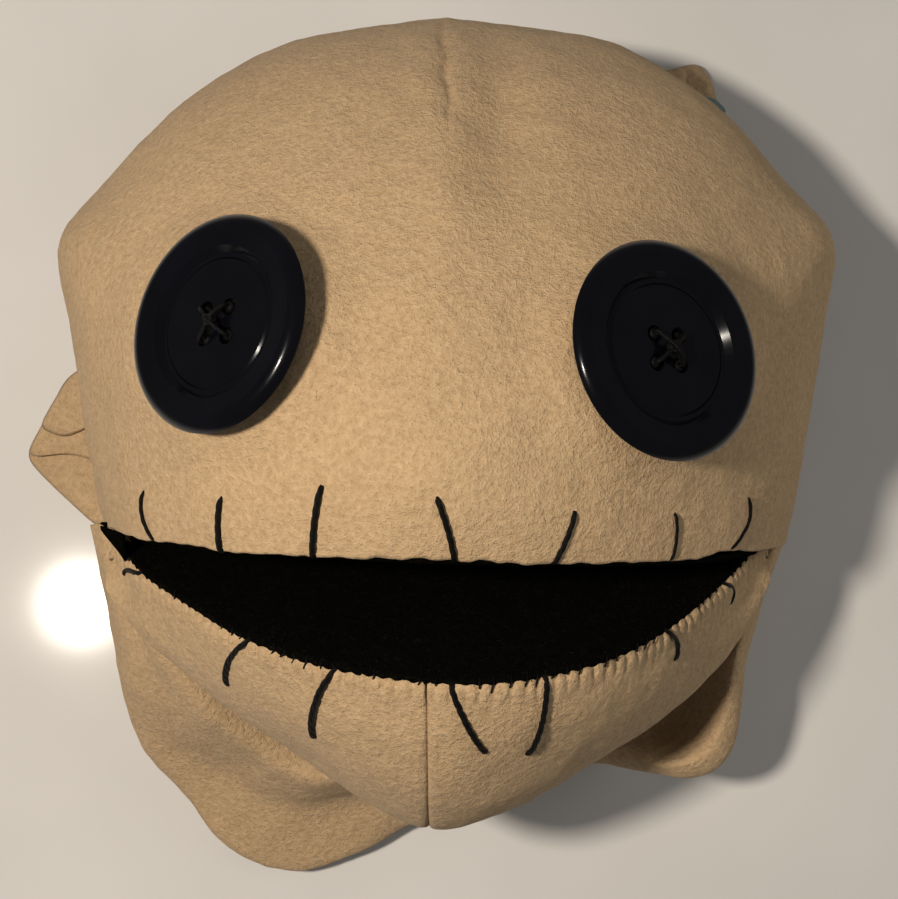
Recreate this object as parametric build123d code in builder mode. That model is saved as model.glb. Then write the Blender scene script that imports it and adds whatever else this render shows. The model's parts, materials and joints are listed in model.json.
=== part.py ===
"""Moving-mouth hand puppet head with button eyes and a stitched mouth.

The puppet lies on the back of its head, face up, with its arm sleeve folded under it.
+X is the side of the right-hand eye as seen from above the face, +Y is the crown, -Y the
chin, and +Z points up out of the face. The origin is on the resting plane, under the
middle of the whole puppet. All sizes are in millimetres.
"""

import os
from math import cos, hypot, pi, radians, sin, tan

from build123d import *

# ---------------------------------------------------------------- driving dimensions
FLEECE = 2.5  # thickness of the fleece with its nap
LAYER_GAP = 0.2  # air between two layers that lie on each other
FOAM = 7.0  # wall of the foam skull

HEAD_X = 5.5  # middle of the head
HEAD_Y = -10.0  # point under the top of the face dome
SEAM_Z = 30.0  # height of the seam between the face and the back of the head
FACE_RISE = 73.0  # face dome, from the seam to its top
DOME_SHARPNESS = 1.7  # exponents of the dome's profile
DOME_FULLNESS = 0.6
MEAN_RADIUS = 85.0  # of the head's outline, used to scale insets

HINGE_Y = -20.5  # mouth hinge axis, along X
HINGE_Z = 42.0
MOUTH_X = 4.5  # middle of the mouth
UPPER_LEAN = 5.7  # degrees from upright towards the chin
LOWER_LEAN = 27.0
PLATE_HALF_WIDTH = 64.0
LIP_HALF_WIDTH = 69.5  # outside of the fleece over the lower lip
PLATE_START = 4.0  # plates start this far from the axis
FELT = 1.2
BOARD = 2.0
AXIS_CLEARANCE = 0.25  # each felt stays this far from the axis plane
BEAD_RADIUS = 2.2

BUTTON_RADIUS = 19.5  # a coat button, 39 mm across
BUTTON_THICKNESS = 4.2
BUTTON_RECESS_RADIUS = 12.6
BUTTON_RECESS = 1.5
BUTTON_HOLE_RADIUS = 1.5
BUTTON_HOLE_PITCH = 5.1
EYE_THREAD_RADIUS = 0.65
EYE_LIFT = 1.7  # of each button's back off the dome, so that its outer edge just clears it
EYES = {
    "left": {"x": -31.6, "y": 13.9, "outward": -34.7, "crownward": 7.0},
    "right": {"x": 41.3, "y": 9.2, "outward": 30.3, "crownward": 6.2},
}

STITCH_RADIUS = 0.9  # six-strand floss
TICK_RADIUS = 0.4  # whipstitching along the lower lip
TICK_PITCH = 2.6

CHIN_U = 37.0  # tip of the chin, along the lower plate and square to it
CHIN_N = 43.5
CHIN_TAPER = 0.62  # how much nearer the chin's edge is at the mouth corners
CHIN_BULGE_U = 6.0  # of the curve between the lip and the chin, beyond a straight line
CHIN_BULGE_N = 2.0
JAW_HALF_WIDTH = 64.0

SLEEVE_LAYER = 2.4
SLEEVE_TOP = 23.3  # top of the sleeve's bulge, under the jaw's travel
SLEEVE_FLOOR = 7.6  # of the room inside the bulge
NECK_WIDTH = 96.0  # opening between the sleeve's bulge and the head
HEM_WIDTH = 11.0

# Half of the head's outline seen from above, from the crown to the neck, measured from
# the point under the top of the dome. The sharp turn at (82, 51) is the temple.
HALF_OUTLINE = [
    (0, 99.5), (33, 95.5), (56, 83), (73, 65), (82, 51), (79, 33),
    (75, 12), (71, -9), (64, -30), (46, -46), (0, -56),
]

# The sleeve as it lies: its side seams bulge out beside the chin and it is folded under
# the head, with its hem running from the left flap to the corner behind the crown.
SLEEVE_FOLD = [
    (-62, -20), (-62, -42), (-57, -64), (-45, -84), (-33, -90.5), (-19, -90.5), (-4, -82),
    (12, -70), (30, -66), (42, -69), (55, -69), (64, -60), (67, -40), (68, -20),
]
LEFT_FLAP = [(-80, 18), (-88, -2), (-72, -17)]
HEM_CORNER = [(68, 78), (64, 91), (56, 88)]


# ---------------------------------------------------------------- shape of the head
def outline_points(scale, inset=0.0, centre=(HEAD_X, HEAD_Y)):
    """Points round the head's outline, scaled about the centre and drawn in by inset."""
    shrink = scale * (1 - inset / MEAN_RADIUS)
    right = [(x * shrink, y * shrink) for x, y in HALF_OUTLINE]
    left = [(-x, y) for x, y in reversed(right[1:-1])]
    return [(centre[0] + x, centre[1] + y) for x, y in right + left]


def dome_scale(height, inset=0.0):
    """Size of the dome's level section at a height above the seam, against the outline."""
    part = min(height / (FACE_RISE - inset), 1.0)
    return (1 - part ** (1 / DOME_FULLNESS)) ** (1 / DOME_SHARPNESS)


def outline_radius(x, y):
    """Distance from the dome's middle to the outline, in the direction of (x, y)."""
    reach = hypot(x, y)
    points = [(abs(px), py) for px, py in HALF_OUTLINE]
    for (ax, ay), (bx, by) in zip(points, points[1:]):
        cross = (bx - ax) * y - (by - ay) * abs(x)
        if abs(cross) < 1e-9:
            continue
        ray = ((bx - ax) * ay - (by - ay) * ax) / cross
        along = (abs(x) * ay - y * ax) / cross
        if ray > 0 and -1e-9 <= along <= 1 + 1e-9:
            return ray * reach
    return MEAN_RADIUS


def dome_height(x, y):
    """Height of the face's fleece over a point given in the puppet's frame."""
    dx, dy = x - HEAD_X, y - HEAD_Y
    part = hypot(dx, dy) / outline_radius(dx, dy) if hypot(dx, dy) > 0.01 else 0.0
    return SEAM_Z + FACE_RISE * (1 - min(part, 1.0) ** DOME_SHARPNESS) ** DOME_FULLNESS


def lip_reach(x, half_width, rise):
    """How far a mouth plate's D-shaped edge is from the hinge, at x from its middle."""
    part = min(abs(x) / half_width, 1.0)
    return rise * (1 - part**DOME_SHARPNESS) ** DOME_FULLNESS - (HINGE_Z - SEAM_Z)


def plate_plane(lean):
    """A mouth plate's plane: local Y runs to the lip, and Z faces away from the crown."""
    tilt = radians(lean)
    return Plane(
        origin=(MOUTH_X, HINGE_Y, HINGE_Z), x_dir=(1, 0, 0), z_dir=(0, -cos(tilt), -sin(tilt))
    )


UPPER_PLANE = plate_plane(UPPER_LEAN)
LOWER_PLANE = plate_plane(LOWER_LEAN)
HEAD_SECTIONS = [0, 12, 26, 40, 52, 61.5, 68, 71.5]


def finish(builder, label):
    """Label a finished piece and write its STEP file."""
    builder.part.label = label
    export_step(builder.part, f"parts/{label}.step")


def dome_sections(inset, floor=0.0):
    """Level sections of the face dome, as sketches for a loft."""
    top = FACE_RISE - inset
    for height in HEAD_SECTIONS:
        level = floor + (height / FACE_RISE) * (top - floor)
        with BuildSketch(Plane.XY.offset(SEAM_Z + level)) as section:
            with BuildLine():
                Spline(outline_points(dome_scale(level, inset), inset), periodic=True)
            make_face()
        yield section.sketch


def behind_mouth(distance):
    """Plane parallel to the upper plate, shifted towards the crown."""
    return UPPER_PLANE.offset(-distance)


# ---------------------------------------------------------------- head
def make_face_panel():
    """Fleece of the face, from the seam round the head to the upper lip."""
    with BuildPart() as face_panel:
        loft(sections=list(dome_sections(0)))
        loft(sections=list(dome_sections(FLEECE)), mode=Mode.SUBTRACT)
        split(bisect_by=behind_mouth(AXIS_CLEARANCE), keep=Keep.BOTTOM)
    finish(face_panel, "face_panel")


def make_head_foam():
    """Foam skull: a dome with room for the hand behind the mouth."""
    outer = FLEECE + LAYER_GAP
    with BuildPart() as head_foam:
        loft(sections=list(dome_sections(outer, 1.0)))
        loft(sections=list(dome_sections(outer + FOAM, 0.0)), mode=Mode.SUBTRACT)
        split(bisect_by=behind_mouth(AXIS_CLEARANCE + FELT + BOARD + 0.6), keep=Keep.BOTTOM)
    finish(head_foam, "head_foam")


# Height of each level section of the back of the head, and its share of the outline.
BACK_LEVELS = [(SEAM_Z - LAYER_GAP, 1.0), (22, 0.965), (15, 0.89), (10, 0.77), (7.8, 0.6)]
BACK_SHIFT = 33.6  # the sections move this far to the crown as their share falls from 1 to 0


def back_sections(inset):
    """Level sections of the shallow bowl at the back of the head."""
    for level, scale in BACK_LEVELS:
        middle_y = HEAD_Y + BACK_SHIFT * (1 - scale)
        height = level if scale == 1.0 else level + inset
        with BuildSketch(Plane.XY.offset(height)) as section:
            with BuildLine():
                Spline(outline_points(scale, inset, (HEAD_X, middle_y)), periodic=True)
            make_face()
        yield section.sketch


def make_back_panels():
    """Fleece of the back of the head, in two halves with a seam down the middle."""
    neck = Plane.XZ.offset(-(HINGE_Y + 1.0))
    for side, keep in (("left", -1), ("right", 1)):
        middle = Plane.YZ.offset(HEAD_X + keep * 0.1)
        with BuildPart() as back_panel:
            loft(sections=list(back_sections(0)))
            loft(sections=list(back_sections(FLEECE)), mode=Mode.SUBTRACT)
            split(bisect_by=neck, keep=Keep.BOTTOM)
            split(bisect_by=middle, keep=Keep.TOP if keep > 0 else Keep.BOTTOM)
        finish(back_panel, f"head_back_panel_{side}")


# ---------------------------------------------------------------- mouth
LIP_END = 0.955  # a plate's curved edge stops at this share of its half-width


def lip_points(half_width, rise, drop=0.0):
    """Points along a mouth plate's curved edge, from one corner to the other."""
    end = half_width * LIP_END
    steps = 12
    xs = [end * (2 * i / steps - 1) for i in range(steps + 1)]
    return [(x, max(lip_reach(x, half_width, rise) - drop, PLATE_START + 1)) for x in xs]


def d_plate(plane, thickness, lip):
    """Flat D: straight along the hinge and curved along the lip."""
    with BuildSketch(plane) as outline:
        with BuildLine():
            Spline(lip)
            Polyline(lip[-1], (lip[-1][0], PLATE_START), (lip[0][0], PLATE_START), lip[0])
        make_face()
    extrude(outline.sketch, amount=thickness)


def make_mouth_plates():
    """Stiff boards with black felt on their mouth side."""
    rise = FACE_RISE - FLEECE - 4.9
    felt_start = AXIS_CLEARANCE
    board_start = AXIS_CLEARANCE + FELT + 0.05
    for name, plane, side in (("upper", UPPER_PLANE, -1), ("lower", LOWER_PLANE, 1)):
        with BuildPart() as felt:
            d_plate(plane.offset(side * felt_start), side * FELT, lip_points(PLATE_HALF_WIDTH, rise))
        finish(felt, f"{name}_mouth_felt")
        with BuildPart() as board:
            lip = lip_points(PLATE_HALF_WIDTH, rise, 0.4)
            d_plate(plane.offset(side * board_start), side * BOARD, lip)
        finish(board, f"{name}_mouth_board")


def make_hinge_strip():
    """Rolled felt strip that joins the two plates along the axis."""
    with BuildPart() as hinge_strip:
        with BuildSketch(Plane.YZ.offset(MOUTH_X - 60)):
            with Locations((HINGE_Y, HINGE_Z)):
                Circle(BEAD_RADIUS)
        extrude(amount=120)
    finish(hinge_strip, "mouth_hinge_strip")


def make_pocket(label, plane, side, half_width, depth, length):
    """Cloth pocket on the back of a plate, open towards the neck."""
    wall = 1.6
    start = AXIS_CLEARANCE + FELT + BOARD + 0.2
    base = plane.offset(side * start)
    low = PLATE_START + 2
    with BuildPart() as pocket:
        with BuildSketch(base):
            with Locations((0, low + length / 2)):
                RectangleRounded(2 * half_width, length, 6)
        extrude(amount=side * depth)
        with BuildSketch(base.offset(side * wall)):
            with Locations((0, low + length / 2 - wall - 4)):
                Rectangle(2 * (half_width - wall), length + 8 - wall)
        extrude(amount=side * (depth - 2 * wall), mode=Mode.SUBTRACT)
    finish(pocket, label)


# ---------------------------------------------------------------- jaw
THUMB_HALF_WIDTH = 14.0
THUMB_DEPTH = 19.0
THUMB_LENGTH = 36.0
FINGER_HALF_WIDTH = 31.0
FINGER_DEPTH = 17.0
FINGER_LENGTH = 31.0


def chin_taper(x):
    """Share of the chin's depth that is left at x from the middle of the mouth."""
    return 1 - CHIN_TAPER * (hypot(x, 8) - 8) / JAW_HALF_WIDTH


def jaw_front(reach, taper):
    """Middle of the curve between the lower lip and the tip of the chin."""
    bulge_u, bulge_n = CHIN_BULGE_U * taper, CHIN_BULGE_N * taper
    return Vector((reach + CHIN_U * taper) / 2 + bulge_u, CHIN_N * taper / 2 + bulge_n)


def jaw_section(x, inset, base, open_neck=False):
    """Face across the jaw at x: along the plate, round the chin and back to the hinge."""
    taper = chin_taper(x)
    reach = lip_reach(x, LIP_HALF_WIDTH, FACE_RISE - 0.5)
    lip = Vector(reach - inset, base)
    front = jaw_front(reach, taper) - Vector(0.85, 0.5) * inset
    chin = Vector(CHIN_U, CHIN_N) * taper - Vector(0.35, 0.94) * inset
    under = Vector(CHIN_U * 0.42, CHIN_N * 0.78) * taper + Vector(0, 1 - inset)
    heel = Vector(-3, 9 + 4 * taper - inset)
    end = Vector(-9, heel.Y) if open_neck else heel
    start = Vector(end.X if open_neck else PLATE_START, base)
    plane = Plane(
        origin=LOWER_PLANE.from_local_coords(Vector(x, 0, 0)),
        x_dir=LOWER_PLANE.y_dir, z_dir=(1, 0, 0),
    )
    with BuildSketch(plane) as section:
        with BuildLine():
            Spline(lip, front, chin)
            Spline(chin, under, heel)
            if open_neck:
                Line(heel, end)
            Polyline(end, start, lip)
        make_face()
    return section.sketch


JAW_STATIONS = [sin(pi / 2 * i / 8) for i in range(-8, 9)]


def jaw_body(inset, base, half_width, open_neck=False):
    """Sections across the jaw, from one mouth corner to the other."""
    return [jaw_section(part * half_width, inset, base, open_neck) for part in JAW_STATIONS]


def make_jaw_foam():
    """Foam chin behind the lower board, with room for the thumb pocket."""
    inset = FLEECE + 3 * LAYER_GAP
    base = AXIS_CLEARANCE + FELT + BOARD + 0.4
    with BuildPart() as jaw_foam:
        loft(sections=jaw_body(inset, base, JAW_HALF_WIDTH - inset), ruled=True)
        with BuildSketch(LOWER_PLANE.offset(-1)):
            with Locations((0, THUMB_LENGTH / 2 - 4)):
                Rectangle(2 * THUMB_HALF_WIDTH + 3, THUMB_LENGTH + 24)
        extrude(amount=THUMB_DEPTH + 7, mode=Mode.SUBTRACT)
    finish(jaw_foam, "jaw_foam")


def make_jaw_covers():
    """Fleece of the chin, in two halves sewn together down the middle."""
    for side, keep in (("left", -1), ("right", 1)):
        middle = Plane.YZ.offset(MOUTH_X + keep * 0.1)
        with BuildPart() as jaw_cover:
            loft(sections=jaw_body(0, AXIS_CLEARANCE, JAW_HALF_WIDTH), ruled=True)
            loft(
                sections=jaw_body(FLEECE, -2, JAW_HALF_WIDTH - FLEECE, open_neck=True),
                ruled=True, mode=Mode.SUBTRACT,
            )
            split(bisect_by=middle, keep=Keep.TOP if keep > 0 else Keep.BOTTOM)
        finish(jaw_cover, f"jaw_cover_{side}")


CHEEK_OUTLINE = [(HINGE_Y - 0.4, 47), (-27, 48), (-38, 42), (-45, 33), (-47, 26), (HINGE_Y - 0.4, 26)]
CHEEK_GAP = 1.5  # between the jaw's end and the cheek


def make_cheeks():
    """Fleece at each mouth corner, between the face, the chin and the sleeve."""
    for side, sign in (("left", -1), ("right", 1)):
        inner = Plane.YZ.offset(MOUTH_X + sign * (JAW_HALF_WIDTH + CHEEK_GAP))
        with BuildPart() as cheek:
            with BuildSketch(inner):
                with BuildLine():
                    Polyline(*CHEEK_OUTLINE, close=True)
                make_face()
            extrude(amount=sign * FLEECE)
        finish(cheek, f"cheek_gusset_{side}")


# ---------------------------------------------------------------- eyes
def eye_plane(eye):
    """Plane that the button lies on, touching the dome's fleece."""
    height = dome_height(eye["x"], eye["y"])
    tilt_x = radians(eye["outward"])
    tilt_y = radians(eye["crownward"])
    normal = Vector(sin(tilt_x) * cos(tilt_y), sin(tilt_y), cos(tilt_x) * cos(tilt_y))
    foot = Vector(eye["x"], eye["y"], height) + normal * EYE_LIFT
    return Plane(origin=foot, x_dir=(cos(tilt_x), 0, -sin(tilt_x)), z_dir=normal)


def make_button(side, eye):
    """Four-hole coat button with a rounded rim and a sunk middle."""
    rim = BUTTON_RADIUS
    top = BUTTON_THICKNESS
    sunk = top - BUTTON_RECESS
    holes = BUTTON_HOLE_PITCH
    seat = eye_plane(eye)
    profile = Plane(origin=seat.origin, x_dir=seat.x_dir, z_dir=-seat.y_dir)
    with BuildPart() as button:
        with BuildSketch(profile):
            with BuildLine():
                Polyline((0, sunk), (0, 0), (rim - 3.5, 0))
                RadiusArc((rim - 3.5, 0), (rim, 2.4), -4.5)
                RadiusArc((rim, 2.4), (rim - 2.6, top), -2.7)
                Polyline(
                    (rim - 2.6, top), (BUTTON_RECESS_RADIUS + 1.0, top - 0.5),
                    (BUTTON_RECESS_RADIUS, sunk - 0.25), (BUTTON_RECESS_RADIUS - 0.8, sunk - 0.25),
                    (BUTTON_RECESS_RADIUS - 1.2, sunk), (0, sunk),
                )
            make_face()
        revolve(axis=Axis(seat.origin, seat.z_dir))
        with BuildSketch(seat):
            with GridLocations(holes, holes, 2, 2):
                Circle(BUTTON_HOLE_RADIUS)
        extrude(amount=top, mode=Mode.SUBTRACT)
    finish(button, f"eye_button_{side}")


def make_eye_thread(side, eye):
    """Crossed threads through the button's four holes."""
    seat = eye_plane(eye)
    half = BUTTON_HOLE_PITCH / 2
    height = BUTTON_THICKNESS - BUTTON_RECESS + EYE_THREAD_RADIUS + 0.1
    with BuildPart() as eye_thread:
        with BuildSketch(seat.offset(-0.2)):
            with GridLocations(2 * half, 2 * half, 2, 2):
                Circle(EYE_THREAD_RADIUS)
        extrude(amount=height + 0.2)
        for sign in (1, -1):
            start = seat.from_local_coords(Vector(-half, -half * sign, height))
            end = seat.from_local_coords(Vector(half, half * sign, height))
            with BuildSketch(Plane(origin=start, z_dir=end - start)):
                Circle(EYE_THREAD_RADIUS)
            extrude(amount=(end - start).length)
    finish(eye_thread, f"eye_thread_{side}")


# ---------------------------------------------------------------- stitching
# Long stitches over the lips: x where each meets the lip, x of its other end, and how
# far that end is from the lip.
UPPER_STITCHES = [
    (-49.9, -50.6, 10.2), (-34.4, -34.0, 9.4), (-17.3, -15.5, 12.0), (7.0, 4.0, 10.2),
    (23.7, 27.4, 9.0), (45.9, 45.7, 8.8), (59.1, 62.4, 10.0),
]
LOWER_STITCHES = [
    (-53.5, -57.5, 4), (-29.5, -35.5, 13), (-13.5, -18.5, 19), (6.5, 12.5, 13.5),
    (22.5, 20.5, 18), (44.5, 47.5, 9), (57.5, 58.5, 5),
]
UPPER_STITCH_LIFT = 0.8  # air between a stitch and the fleece
LOWER_STITCH_LIFT = 1.9


def face_point(x, above_lip):
    """A point just over the face's fleece, this far behind the upper lip."""
    lip_height = dome_height(x, HINGE_Y - 4)
    y = HINGE_Y - tan(radians(UPPER_LEAN)) * (lip_height - HINGE_Z) + above_lip
    step = 0.5
    slope_x = (dome_height(x + step, y) - dome_height(x - step, y)) / (2 * step)
    slope_y = (dome_height(x, y + step) - dome_height(x, y - step)) / (2 * step)
    normal = Vector(-slope_x, -slope_y, 1).normalized()
    return Vector(x, y, dome_height(x, y)) + normal * (STITCH_RADIUS + UPPER_STITCH_LIFT)


def jaw_point(x, below_lip):
    """A point just outside the chin's fleece, this far below the lower lip."""
    local = x - MOUTH_X
    reach = lip_reach(local, LIP_HALF_WIDTH, FACE_RISE - 0.5)
    front = jaw_front(reach, chin_taper(local))
    part = below_lip / max(hypot(reach - front.X, front.Y), 1.0)
    lift = STITCH_RADIUS + LOWER_STITCH_LIFT
    u = reach + (front.X - reach) * part + lift * (1 + part)
    n = lift + front.Y * part
    return LOWER_PLANE.from_local_coords(Vector(local, u, n))


def add_bar(start, end, radius):
    """A straight stretch of thread with round ends cut square."""
    with BuildSketch(Plane(origin=start, z_dir=end - start)) as thread:
        Circle(radius)
    extrude(thread.sketch, amount=(end - start).length)


def make_stitches():
    """Long decorative stitches above and below the mouth."""
    for label, stitches, point in (
        ("upper_lip_stitches", UPPER_STITCHES, face_point),
        ("lower_lip_stitches", LOWER_STITCHES, jaw_point),
    ):
        with BuildPart() as long_stitches:
            for lip_x, end_x, length in stitches:
                add_bar(point(lip_x, 0.8), point(end_x, length), STITCH_RADIUS)
        finish(long_stitches, label)


def make_whipstitches():
    """Small ticks that sew the chin's fleece to the lower felt."""
    count = int(2 * (JAW_HALF_WIDTH - 8) / TICK_PITCH)
    with BuildPart() as whipstitches:
        for i in range(count + 1):
            x = MOUTH_X - (JAW_HALF_WIDTH - 8) + i * TICK_PITCH
            near_long = min(abs(x - lip_x) for lip_x, _, _ in LOWER_STITCHES)
            if near_long > STITCH_RADIUS + TICK_RADIUS + 0.5:
                add_bar(jaw_point(x, 0.2), jaw_point(x + 0.6, 2.4), TICK_RADIUS)
    finish(whipstitches, "lip_whipstitches")


# ---------------------------------------------------------------- sleeve
BULGE_MIDDLE = (3.0, -34.0)
BULGE_LEVELS = [(0, 2), (5, 0), (12, 0), (19, 3), (SLEEVE_TOP, 12)]  # height, drawn in by
ROOM_LEVELS = [(SLEEVE_FLOOR, 0), (13, 0), (SLEEVE_TOP - 4, 4)]
BACK_FLAT = [
    (-61, -18.5), (67, -18.5), (67.4, 77), (63, 89), (56, 86), (-78, 16), (-86, -2), (-71, -15.5),
]
HEM_START = (-76, 14)
HEM_END = (55, 83.5)
TAB_PLACE = (67.5, 81)
TAB_SIZE = (11, 7, 0.8)
TAB_TURN = 20.0


def bulge_sections(inset, levels):
    """Level sections of the sleeve's bulge beside and under the chin."""
    middle_x, middle_y = BULGE_MIDDLE
    for level, draw_in in levels:
        points = []
        for x, y in SLEEVE_FOLD:
            reach = hypot(x - middle_x, y - middle_y)
            shrink = 1 - (draw_in + inset) / reach
            points.append((middle_x + (x - middle_x) * shrink, middle_y + (y - middle_y) * shrink))
        points[0] = (points[0][0], SLEEVE_FOLD[0][1])
        points[-1] = (points[-1][0], SLEEVE_FOLD[-1][1])
        with BuildSketch(Plane.XY.offset(level)) as section:
            with BuildLine():
                Spline(points)
                Line(points[-1], points[0])
            make_face()
        yield section.sketch


def make_sleeve_front():
    """Front of the arm sleeve: bulging at the neck, then folded flat under the head."""
    flat = SLEEVE_FOLD[1:] + HEM_CORNER + LEFT_FLAP
    neck_height = SLEEVE_TOP - 5 - SLEEVE_FLOOR
    with BuildPart() as front_panel:
        loft(sections=list(bulge_sections(0, BULGE_LEVELS)))
        loft(sections=list(bulge_sections(2 * FLEECE, ROOM_LEVELS)), mode=Mode.SUBTRACT)
        with BuildSketch(Plane.XZ.offset(-(SLEEVE_FOLD[0][1] - 3))):
            with Locations((BULGE_MIDDLE[0], SLEEVE_FLOOR + neck_height / 2)):
                Rectangle(NECK_WIDTH, neck_height)
        extrude(amount=-6, mode=Mode.SUBTRACT)
        with BuildSketch():
            with BuildLine():
                Polyline(*flat, close=True)
            make_face()
        extrude(amount=SLEEVE_LAYER)
    finish(front_panel, "sleeve_front_panel")


def make_sleeve_back():
    """Back of the arm sleeve, folded flat between the head and the front."""
    with BuildPart() as back_panel:
        with BuildSketch(Plane.XY.offset(SLEEVE_LAYER + LAYER_GAP)):
            with BuildLine():
                Polyline(*BACK_FLAT, close=True)
            make_face()
        extrude(amount=SLEEVE_LAYER)
    finish(back_panel, "sleeve_back_panel")


def make_hem_and_tab():
    """The sleeve's turned hem, and the woven tab in its side seam."""
    top = 2 * SLEEVE_LAYER + 2 * LAYER_GAP
    hem_start = Vector(*HEM_START, top)
    hem_end = Vector(*HEM_END, top)
    length = (hem_end - hem_start).length
    hem_plane = Plane(origin=hem_start, x_dir=hem_end - hem_start, z_dir=(0, 0, 1))
    with BuildPart() as hem:
        with BuildSketch(hem_plane):
            with Locations((length / 2, -HEM_WIDTH / 2)):
                Rectangle(length, HEM_WIDTH)
        extrude(amount=SLEEVE_LAYER)
    finish(hem, "sleeve_hem")
    with BuildPart() as label_tab:
        with BuildSketch(Plane.XY.offset(top)):
            with Locations(Location(TAB_PLACE, TAB_TURN)):
                Rectangle(TAB_SIZE[0], TAB_SIZE[1])
        extrude(amount=TAB_SIZE[2])
    finish(label_tab, "label_tab")


# ---------------------------------------------------------------- build
os.makedirs("parts", exist_ok=True)
make_face_panel()
make_head_foam()
make_back_panels()
make_mouth_plates()
make_hinge_strip()
make_pocket("finger_pocket", UPPER_PLANE, -1, FINGER_HALF_WIDTH, FINGER_DEPTH, FINGER_LENGTH)
make_pocket("thumb_pocket", LOWER_PLANE, 1, THUMB_HALF_WIDTH, THUMB_DEPTH, THUMB_LENGTH)
make_jaw_foam()
make_jaw_covers()
make_cheeks()
for eye_side, eye_place in EYES.items():
    make_button(eye_side, eye_place)
    make_eye_thread(eye_side, eye_place)
make_stitches()
make_whipstitches()
make_sleeve_front()
make_sleeve_back()
make_hem_and_tab()
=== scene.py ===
"""Looks of the moving-mouth hand puppet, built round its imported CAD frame.

Lengths in the shape code are millimetres in the row frame and become metres when a mesh is
made: +X towards the right-hand eye, +Y towards the crown, +Z up out of the face.
"""

import json
import math

import bpy
import numpy as np
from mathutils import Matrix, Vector


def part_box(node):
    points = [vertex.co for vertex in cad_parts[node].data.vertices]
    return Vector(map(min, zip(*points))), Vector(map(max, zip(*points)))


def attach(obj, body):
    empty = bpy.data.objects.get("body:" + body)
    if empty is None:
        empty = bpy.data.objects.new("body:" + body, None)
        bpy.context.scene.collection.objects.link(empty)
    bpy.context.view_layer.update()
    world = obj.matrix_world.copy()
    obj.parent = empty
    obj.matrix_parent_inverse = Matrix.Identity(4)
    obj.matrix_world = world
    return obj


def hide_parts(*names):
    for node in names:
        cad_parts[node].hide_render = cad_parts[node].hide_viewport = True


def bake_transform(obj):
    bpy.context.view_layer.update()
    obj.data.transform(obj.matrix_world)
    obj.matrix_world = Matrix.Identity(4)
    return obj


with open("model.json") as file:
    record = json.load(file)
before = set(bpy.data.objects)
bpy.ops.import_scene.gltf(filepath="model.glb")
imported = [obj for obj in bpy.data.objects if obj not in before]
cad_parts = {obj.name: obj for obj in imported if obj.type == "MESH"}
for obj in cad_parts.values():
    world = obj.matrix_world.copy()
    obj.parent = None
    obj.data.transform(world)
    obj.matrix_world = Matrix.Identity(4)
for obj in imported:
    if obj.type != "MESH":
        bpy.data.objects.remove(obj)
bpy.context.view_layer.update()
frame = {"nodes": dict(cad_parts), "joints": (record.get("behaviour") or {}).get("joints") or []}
nodes = frame["nodes"]


# ================================================================ shape tools
def smooth(t):
    """A soft step from 0 at t = 0 to 1 at t = 1."""
    t = np.clip(t, 0.0, 1.0)
    return t * t * (3 - 2 * t)


def unit(v):
    """Vectors at length 1."""
    return v / np.maximum(np.linalg.norm(v, axis=-1, keepdims=True), 1e-9)


def spline(points, t):
    """Catmull-Rom curve through points, at parameters t from 0 to len(points) - 1."""
    p = np.asarray(points, float)
    p = np.concatenate([2 * p[:1] - p[1:2], p, 2 * p[-1:] - p[-2:-1]])
    t = np.asarray(t, float)
    i = np.clip(np.floor(t).astype(int), 0, len(p) - 4)
    f = (t - i).reshape(t.shape + (1,) * (p.ndim - 1))
    a, b, c, d = p[i], p[i + 1], p[i + 2], p[i + 3]
    return 0.5 * (2 * b + (c - a) * f + (2 * a - 5 * b + 4 * c - d) * f**2 + (3 * (b - c) + d - a) * f**3)


def curve_of(pairs):
    """A smooth function of one value through (value, result) pairs."""
    line = spline(pairs, np.linspace(0, len(pairs) - 1, 40 * len(pairs)))
    return lambda x: np.interp(x, line[:, 0], line[:, 1])


def run_along(points):
    """Distance along a polyline, at each of its points."""
    return np.concatenate([[0], np.cumsum(np.linalg.norm(np.diff(points, axis=0), axis=1))])


def even(points, count, closed=False):
    """Points spaced evenly along a polyline."""
    p = np.asarray(points, float)
    if closed:
        p = np.concatenate([p, p[:1]])
    run = run_along(p)
    want = np.linspace(0, run[-1], count, endpoint=not closed)
    return np.stack([np.interp(want, run, p[:, k]) for k in range(p.shape[1])], -1)


def hashed(i, j, k, seed):
    """A fixed, scattered value from -1 to 1 for each set of whole numbers."""
    h = (i * 73856093) ^ (j * 19349663) ^ (k * 83492791) ^ (seed * 19260817)
    h = ((h ^ (h >> 13)) * 1274126177) & 0xFFFFFFFF
    h = ((h ^ (h >> 15)) * 2246822519) & 0xFFFFFFFF
    return ((h ^ (h >> 16)) & 0xFFFF) / 32767.5 - 1


def noise(p, size, seed):
    """Smooth value noise from -1 to 1 at points p, with lumps of this size."""
    q = np.asarray(p, float) / size
    base = np.floor(q).astype(np.int64)
    f = smooth(q - base)
    total = 0
    for dx in (0, 1):
        for dy in (0, 1):
            for dz in (0, 1):
                weight = (
                    np.abs(1 - dx - f[..., 0]) * np.abs(1 - dy - f[..., 1]) * np.abs(1 - dz - f[..., 2])
                )
                total = total + weight * hashed(base[..., 0] + dx, base[..., 1] + dy, base[..., 2] + dz, seed)
    return total


def nap(p, seed, amount=1.0):
    """Height of napped fleece: slow lumps, clumps of fibre and single tufts."""
    return amount * (
        0.42 * noise(p, 21, seed)
        + 0.20 * noise(p, 6.5, seed + 1)
        + 0.13 * noise(p, 2.6, seed + 2)
    )


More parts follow.
